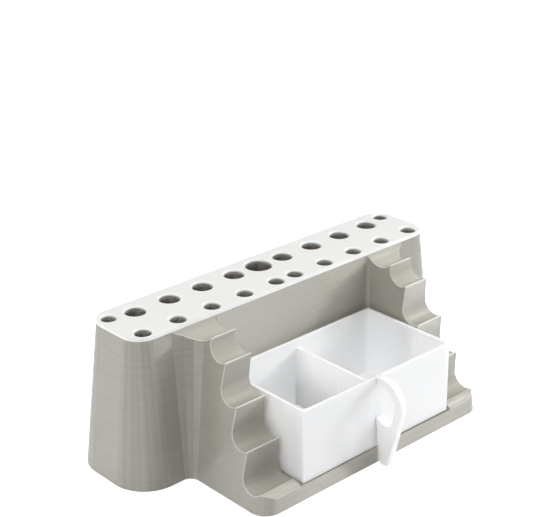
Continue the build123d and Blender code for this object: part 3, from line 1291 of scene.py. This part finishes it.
@dataclass
class Tray:
    """The white tray: an open box with one divider wall that is lower than the rim."""

    half_width: float = TRAY_WIDTH / 2
    back: float = -18.8795
    depth: float = 54.6
    bottom: float = FLOOR
    height: float = 37.4
    wall: float = 1.6
    corner: float = 0.6
    inner_corner: float = 2.2
    least_corner: float = 0.12
    corner_steps: int = 8
    divider_x: float = -1.5
    divider_drop: float = 4.6
    divider_bed: float = 0.3
    divider_flare: float = 1.4
    divider_steps: int = 24
    divider_top_step: float = 0.08
    glow_fade: float = 10.0
    rim_radius: float = 0.35
    foot_radius: float = 0.25
    foot_gap: float = 0.45
    foot_step: float = 6.0
    # Painted shade on the outside of the front wall, which faces the lamps
    front_painted_shade: float = -0.1
    arc_points: int = 7

    @property
    def front(self) -> float:
        """The front wall's outer face."""
        return self.back - self.depth

    @property
    def top(self) -> float:
        """Height of the rim."""
        return self.bottom + self.height

    def loop(self, inset: Array) -> Array:
        """Rounded rectangles, one for each inset: a quarter circle of points at every corner.

        Args:
            inset: how far each loop lies inside the tray's outer outline.

        Returns:
            Plan points, insets by points by two, with the same count on every loop.
        """
        inset = inset[:, None]
        radius = np.where(inset < self.wall / 2, self.corner - inset, self.inner_corner + self.wall - inset)
        radius = np.maximum(radius, self.least_corner)
        x = self.half_width - inset - radius
        low, high = self.front + inset + radius, self.back - inset - radius
        turn = np.linspace(0.0, math.pi / 2, self.corner_steps + 1)[None, :]
        parts = []
        for number, (sign, y) in enumerate(((1, low), (1, high), (-1, high), (-1, low))):
            angle = turn + (number - 1) * math.pi / 2
            parts.append(np.stack([sign * x + radius * np.cos(angle), y + radius * np.sin(angle)], axis=-1))
        return np.concatenate(parts, axis=1)

    def build(self) -> bpy.types.Object:
        """Builds the box by carrying its wall's section round the outline.

        The section runs from the foot out under a small step, up the outside, over the rounded rim and down
        the inside. Light spreads in it by the share of the depth that lies behind a point, more to the front.

        Returns:
            The finished piece.
        """
        shell = Shell()
        swing = np.linspace(0.0, math.pi / 2, self.arc_points)
        closing, falling = 1.0 - np.sin(swing), 1.0 - np.cos(swing)
        foot, rim, wall, step = self.foot_radius, self.rim_radius, self.wall, self.foot_step
        sole, floor = self.bottom + self.foot_gap, self.bottom + wall
        inset = np.concatenate([[step, step], foot * closing, rim * falling, wall - rim * closing, [wall]])
        level = np.concatenate([[self.bottom, sole], sole + foot * falling, self.top - rim * closing,
                                self.top - rim * falling, [floor]])
        plan = self.loop(inset)
        rows = at_levels(plan, level)
        edge = crown(self.arc_points)
        weights = np.concatenate([[0.0, 0.0], edge, edge, edge, [0.0]])[:, None] * np.ones(rows.shape[1])
        glow = np.clip((self.back - plan[..., 1]) / self.depth, 0.0, 1.0)
        middle = (plan[1:, :, 1] + np.roll(plan, -1, axis=1)[1:, :, 1]) / 2
        # The outside of the front wall gets painted shade
        sheen = np.where(middle < self.front + self.corner / 2, self.front_painted_shade, 0.0)

        # First row and end of the underside, the foot's edge, the outside, the rim and the inside
        foot_end, rim_end = self.arc_points + 2, 3 * self.arc_points + 2
        spans = ((0, 3, False), (2, foot_end, True), (foot_end - 1, foot_end + 1, False),
                 (foot_end, rim_end, True), (rim_end - 1, rim_end + 1, False))
        for start, end, smooth in spans:
            marks = {Mark.EDGE_HIGHLIGHT: weights[start:end], Mark.GLOW: glow[start:end],
                     Mark.TONE_AND_PAINTED_LIGHT: sheen[start:end - 1]}
            shell.grid(rows[start:end], smooth, closed=True, marks=marks)
        shell.fill([plan[0]], lambda spots: at_level(spots, self.bottom))
        shell.fill([plan[-1]], lambda spots: at_level(spots, floor))
        return shell.build("tray_box")

    def build_divider(self) -> bpy.types.Object:
        """Builds the divider: a wall section with a rounded top, carried from the back to the front wall.

        Towards the back wall each side grows wider by a hollow quarter circle: by the radius times one less
        the root of one less the square of the share that is left to the wall. Light spreads in it less
        towards both walls.

        Returns:
            The finished piece.
        """
        shell = Shell()
        half, round_top, flare = self.wall / 2, self.rim_radius, self.divider_flare
        low, high = self.bottom + self.wall - self.divider_bed, self.top - self.divider_drop
        centre = np.array((half - round_top, high - round_top))
        right = arc(centre, round_top, 0.0, math.pi / 2, self.divider_top_step)
        section = np.vstack([[(half, low)], right, right[::-1] * (-1, 1), [(-half, low)]])
        swing = np.linspace(0.0, math.pi / 2, self.corner_steps + 1)
        length = self.depth - 2 * self.wall
        straight = np.linspace(flare, length, self.divider_steps)[1:]
        away = np.concatenate([[-self.divider_bed], flare * (1 - np.cos(swing)), straight,
                               [length + self.divider_bed]])
        share = np.clip(1.0 - away / flare, 0.0, 1.0)
        wider = flare * (1.0 - np.sqrt(1.0 - share ** 2))
        rows = np.empty((len(away), len(section), 3))
        rows[..., 0] = self.divider_x + section[:, 0] + np.sign(section[:, 0]) * wider[:, None]
        rows[..., 1] = (self.back - self.wall - away)[:, None]
        rows[..., 2] = section[:, 1]
        glow = ease(np.minimum(away, length - away) / self.glow_fade)
        shell.grid(rows, closed=True, marks={Mark.GLOW: glow[:, None] * np.ones(len(section))})
        for row in (rows[0], rows[-1]):
            shell.fill([row[:, [0, 2]]], lambda spots, y=row[0, 1]: np.insert(spots, 1, y, axis=1))
        return shell.build("tray_divider")


@dataclass
class Handle:
    """The ear on the tray's front: a round band seated on the wall that runs down into a tapered foot."""

    tray: Tray
    width: float = 4.0
    band: float = 4.0
    reach: float = 15.39
    radius_share: float = 0.3342
    foot_gap: float = 0.4
    foot_front: float = 7.8
    foot_back: float = 2.7
    seat_height: float = 3.0
    seat_share: float = 0.4305
    hole_share: float = 0.3316
    hole_round_share: float = 0.336
    corner_radius: float = 0.55
    corner_reach: float = 0.12
    seat_radius: float = 0.1
    seat_fade: float = 0.8
    edge_radius: float = 0.4
    row_reach: float = 1.5
    arc_points: int = 9

    def __post_init__(self) -> None:
        """Works out the places and sizes that follow from the tray."""
        self.front, self.top = self.tray.front, self.tray.top
        self.radius = self.tray.height * self.radius_share
        self.seat_top = self.tray.bottom + self.tray.height * self.seat_share
        self.hole_floor = self.tray.bottom + self.tray.height * self.hole_share
        self.hole_round = self.radius * self.hole_round_share

    def outline(self) -> Array:
        """Side view of the ear as one closed line of (y, z): over the top, down the foot, up the finger hole.

        Returns:
            Even points, with the corners a little rounded.
        """
        centre = np.array((self.front - self.reach + self.radius, self.top - self.radius))
        foot = np.array((self.front - self.foot_front, self.foot_gap))
        away = foot - centre
        touch = math.atan2(away[1], away[0]) - math.acos(self.radius / math.hypot(*away)) + 2 * math.pi
        out = np.array((math.cos(touch), math.sin(touch)))
        inner = self.radius - self.band
        side, hole = centre + self.radius * out, centre + inner * out
        down = (foot - side) / np.linalg.norm(foot - side)
        corner = hole + down * (self.hole_floor - hole[1]) / down[1]
        seat = np.array((self.front, self.seat_top))
        heel = np.array((self.front, self.seat_top - self.seat_height))
        sole = np.array((self.front - self.foot_back, self.foot_gap))
        high, low = np.array((self.front, self.top)), np.array((self.front, self.top - self.band))
        crest, arch = np.array((centre[0], self.top)), np.array((centre[0], self.top - self.band))
        size, flush = self.corner_radius, self.seat_radius
        points = np.vstack([
            bent(low, high, crest, flush), arc(centre, self.radius, math.pi / 2, touch),
            bent(side, foot, sole, size), bent(foot, sole, heel, size), bent(sole, heel, seat, flush),
            bent(heel, seat, corner, flush), bent(seat, corner, hole, self.hole_round),
            arc(centre, inner, touch, math.pi / 2), bent(arch, low, high, flush),
        ])
        points = np.vstack([points, points[:1]])
        return soften(evenly(points)[:-1], self.corner_reach, closed=True)

    def build(self) -> bpy.types.Object:
        """Builds the ear: its outline carried across the width, with both long edges rounded.

        The rounding grows with the distance from the tray's wall, so the ear is seated flush.

        Returns:
            The finished piece.
        """
        shell = Shell()
        line = self.outline()
        chosen = key_points(line, self.row_reach, closed=True)
        size = edge_sizes(line, self.edge_radius, closed=True)[chosen]
        line, ahead = line[chosen], headings(line, closed=True)[chosen]
        free = ease((self.front - line[:, 0]) / self.seat_fade)
        size = np.minimum(size, self.seat_radius + self.edge_radius * free)
        out = np.column_stack([np.zeros(len(line)), -ahead[:, 1], ahead[:, 0]])
        turned = np.sum(line[:, 0] * np.roll(line[:, 1], -1) - np.roll(line[:, 0], -1) * line[:, 1])
        out *= -1.0 if turned > 0 else 1.0
        half = self.width / 2
        bands = []
        for sign in (1.0, -1.0):
            face = np.broadcast_to(np.array([sign, 0.0, 0.0]), out.shape)
            bands.append(round_edge(at_side(line, sign * half), face, out, size, self.arc_points))
        rows = np.concatenate([bands[0], bands[1][:, ::-1]], axis=1).transpose(1, 0, 2)
        edge = crown(self.arc_points)
        weights = np.concatenate([edge, edge])[:, None] * np.ones(rows.shape[1])
        shell.grid(rows, closed=True, marks={Mark.EDGE_HIGHLIGHT: weights})
        for border, x in ((rows[0], half), (rows[-1], -half)):
            shell.fill([border[:, 1:]], lambda spots, x=x: at_side(spots, x))
        return shell.build("handle_ear")


class Lamp(Enum):
    """The lamps of the studio."""

    KEY = "key_softbox"
    SMALL_KEY = "small_key_softbox"
    FRONT_RIGHT = "front_right_softbox"
    HIGH_RIGHT = "high_right_softbox"
    HIGH_FRONT = "high_front_softbox"
    HIGH_LEFT = "high_left_softbox"
    BACK_LEFT = "back_left_softbox"
    HIGH_BACK = "high_back_softbox"


@dataclass(frozen=True)
class LampSetting:
    """One square softbox: where it stands, its size, its power and what it points at, in metres and watts."""

    lamp: Lamp
    place: Triple
    size: float
    power: float
    aim: Triple = (0.0, -0.03, 0.04)

    def build(self) -> None:
        """Adds the lamp, turned towards its aim and hidden from the camera."""
        light = bpy.data.lights.new(self.lamp.value, "AREA")
        light.energy, light.size = self.power, self.size
        made = linked(self.lamp.value, light)
        away = Vector(self.place) - Vector(self.aim)
        made.matrix_world = Matrix.Translation(self.place) @ away.to_track_quat("Z", "Y").to_matrix().to_4x4()
        made.visible_camera = False


@dataclass
class Studio:
    """Pale floor, white surroundings, softboxes and the camera; the eye's place is in millimetres."""

    floor_half: float = 3.0
    floor_points: int = 3
    floor_colour: Triple = (0.9, 0.9, 0.9)
    floor_lift: float = 0.55
    lift_near: float = 0.3
    lift_far: float = 0.9
    ambient: float = 0.06
    sensor: float = 36.0
    lens: float = 91.51
    azimuth: float = math.radians(-42.59)
    elevation: float = math.radians(23.612)
    roll: float = math.radians(-0.376)
    eye: Triple = (-424.476, -467.012, 356.516)
    lamps: tuple[LampSetting, ...] = (
        LampSetting(Lamp.KEY, (0.415, -0.215, 0.196), 0.16, 0.55),
        LampSetting(Lamp.SMALL_KEY, (0.749, -0.445, 0.318), 0.08, 1.7),
        LampSetting(Lamp.FRONT_RIGHT, (0.581, -0.611, 0.406), 0.35, 1.5),
        LampSetting(Lamp.HIGH_RIGHT, (0.454, -0.348, 0.749), 0.4, 1.7),
        LampSetting(Lamp.HIGH_FRONT, (-0.493, -0.375, 0.709), 0.4, 2.8),
        LampSetting(Lamp.HIGH_LEFT, (-0.641, 0.06, 0.665), 0.4, 1.9),
        LampSetting(Lamp.BACK_LEFT, (-0.63, 0.6, 0.165), 0.4, 1.9),
        LampSetting(Lamp.HIGH_BACK, (0.113, 0.391, 0.827), 0.4, 1.9),
    )

    def build_camera(self) -> None:
        """Adds the camera at the fitted place.

        Its axes come from the azimuth and elevation of the eye and a small roll about the view line.
        """
        turn, rise = self.azimuth, self.elevation
        back = Vector((math.sin(turn) * math.cos(rise), -math.cos(turn) * math.cos(rise), math.sin(rise)))
        right = Vector((math.cos(turn), math.sin(turn), 0.0))
        up = back.cross(right)
        wide = right * math.cos(self.roll) + up * math.sin(self.roll)
        tall = up * math.cos(self.roll) - right * math.sin(self.roll)
        data = bpy.data.cameras.new("camera")
        data.sensor_fit, data.sensor_width, data.lens = "HORIZONTAL", self.sensor, self.lens
        camera = linked("camera", data)
        place = Vector(self.eye) * MM
        camera.matrix_world = Matrix.Translation(place) @ Matrix((wide, tall, back)).transposed().to_4x4()
        bpy.context.scene.camera = camera

    def build_floor(self) -> None:
        """Adds the floor, marked as stage: a flat grid of two parameters at the height of the base."""
        side = np.linspace(-self.floor_half, self.floor_half, self.floor_points)
        across, along = np.meshgrid(side, side)
        points = np.stack([across, along, np.zeros_like(across)], axis=-1).reshape(-1, 3)
        mesh = bpy.data.meshes.new("floor")
        mesh.from_pydata(points, [], quads(np.arange(across.size).reshape(across.shape)).tolist())
        floor = linked("floor", mesh)
        mesh.materials.append(self.floor_material())
        floor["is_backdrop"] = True

    @staticmethod
    def seen_directly(graph: Graph) -> Socket:
        """Tells rays that look at a surface from light that falls on things.

        Args:
            graph: the material's or the world's nodes.

        Returns:
            One for rays from the camera, from a reflection or through glass, and zero for the others.
        """
        path = graph.node("ShaderNodeLightPath").outputs
        glossy = graph.math("MAXIMUM", path["Is Glossy Ray"], path["Is Transmission Ray"])
        return graph.math("MAXIMUM", path["Is Camera Ray"], glossy)

    def floor_material(self) -> bpy.types.Material:
        """Matt pale floor that shows as white where no shadow falls on it.

        What lifts it to white grows from a share near the object to one far away, where the lamps are weak.

        Returns:
            The material.
        """
        made = bpy.data.materials.new("pale_floor")
        made.use_nodes = True
        graph = Graph(made.node_tree)
        output = graph.node("ShaderNodeOutputMaterial")
        matt = graph.node("ShaderNodeBsdfDiffuse")
        matt.inputs["Color"].default_value = (*self.floor_colour, 1.0)
        lift = graph.node("ShaderNodeEmission")
        both = graph.node("ShaderNodeAddShader")
        away = graph.node("ShaderNodeVectorMath", operation="LENGTH")
        graph.join(graph.node("ShaderNodeTexCoord").outputs["Object"], away.inputs[0])
        share = graph.node("ShaderNodeMapRange", interpolation_type="SMOOTHSTEP")
        graph.feed(share, {"Value": away.outputs["Value"], "From Min": self.lift_near,
                           "From Max": self.lift_far, "To Min": self.floor_lift})
        strength = graph.math("MULTIPLY", self.seen_directly(graph), share.outputs["Result"])
        graph.join(strength, lift.inputs["Strength"])
        graph.join(matt.outputs[0], both.inputs[0])
        graph.join(lift.outputs[0], both.inputs[1])
        graph.join(both.outputs[0], output.inputs["Surface"])
        return made

    def build_world(self) -> None:
        """White surroundings for what looks at them, and a softer even light on the object."""
        world = bpy.data.worlds.new("white_room")
        world.use_nodes = True
        bpy.context.scene.world = world
        graph = Graph(world.node_tree)
        output = graph.node("ShaderNodeOutputWorld")
        light = graph.node("ShaderNodeBackground")
        shown = graph.math("MULTIPLY", self.seen_directly(graph), 1.0 - self.ambient)
        strength = graph.math("ADD", shown, self.ambient)
        graph.feed(light, {"Color": (1.0, 1.0, 1.0, 1.0), "Strength": strength})
        graph.join(light.outputs[0], output.inputs["Surface"])

    def build(self) -> None:
        """Sets the camera, the floor, the surroundings and the lamps."""
        self.build_camera()
        self.build_floor()
        self.build_world()
        for lamp in self.lamps:
            lamp.build()
        bpy.context.scene.view_settings.view_transform = "Standard"


def main() -> None:
    """Builds the studio and every piece."""
    logging.basicConfig(level=logging.INFO, format="%(message)s")
    Studio().build()
    tray = Tray()
    dress(Block().build(), GREY_PRINT, "holder", "grey_print", "block")
    dress(Cap().build(), SHADED_WHITE_CAP, "holder", "white_print", "top_plate")
    dress(tray.build(), WHITE_TRAY, "drawer", "white_print", "tray")
    dress(tray.build_divider(), WHITE_TRAY, "drawer", "white_print", "tray")
    dress(Handle(tray).build(), WHITE_HANDLE, "drawer", "white_print", "tray_handle")
    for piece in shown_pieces():
        log.info("piece %s", piece.name)


if __name__ == "__main__":
    main()
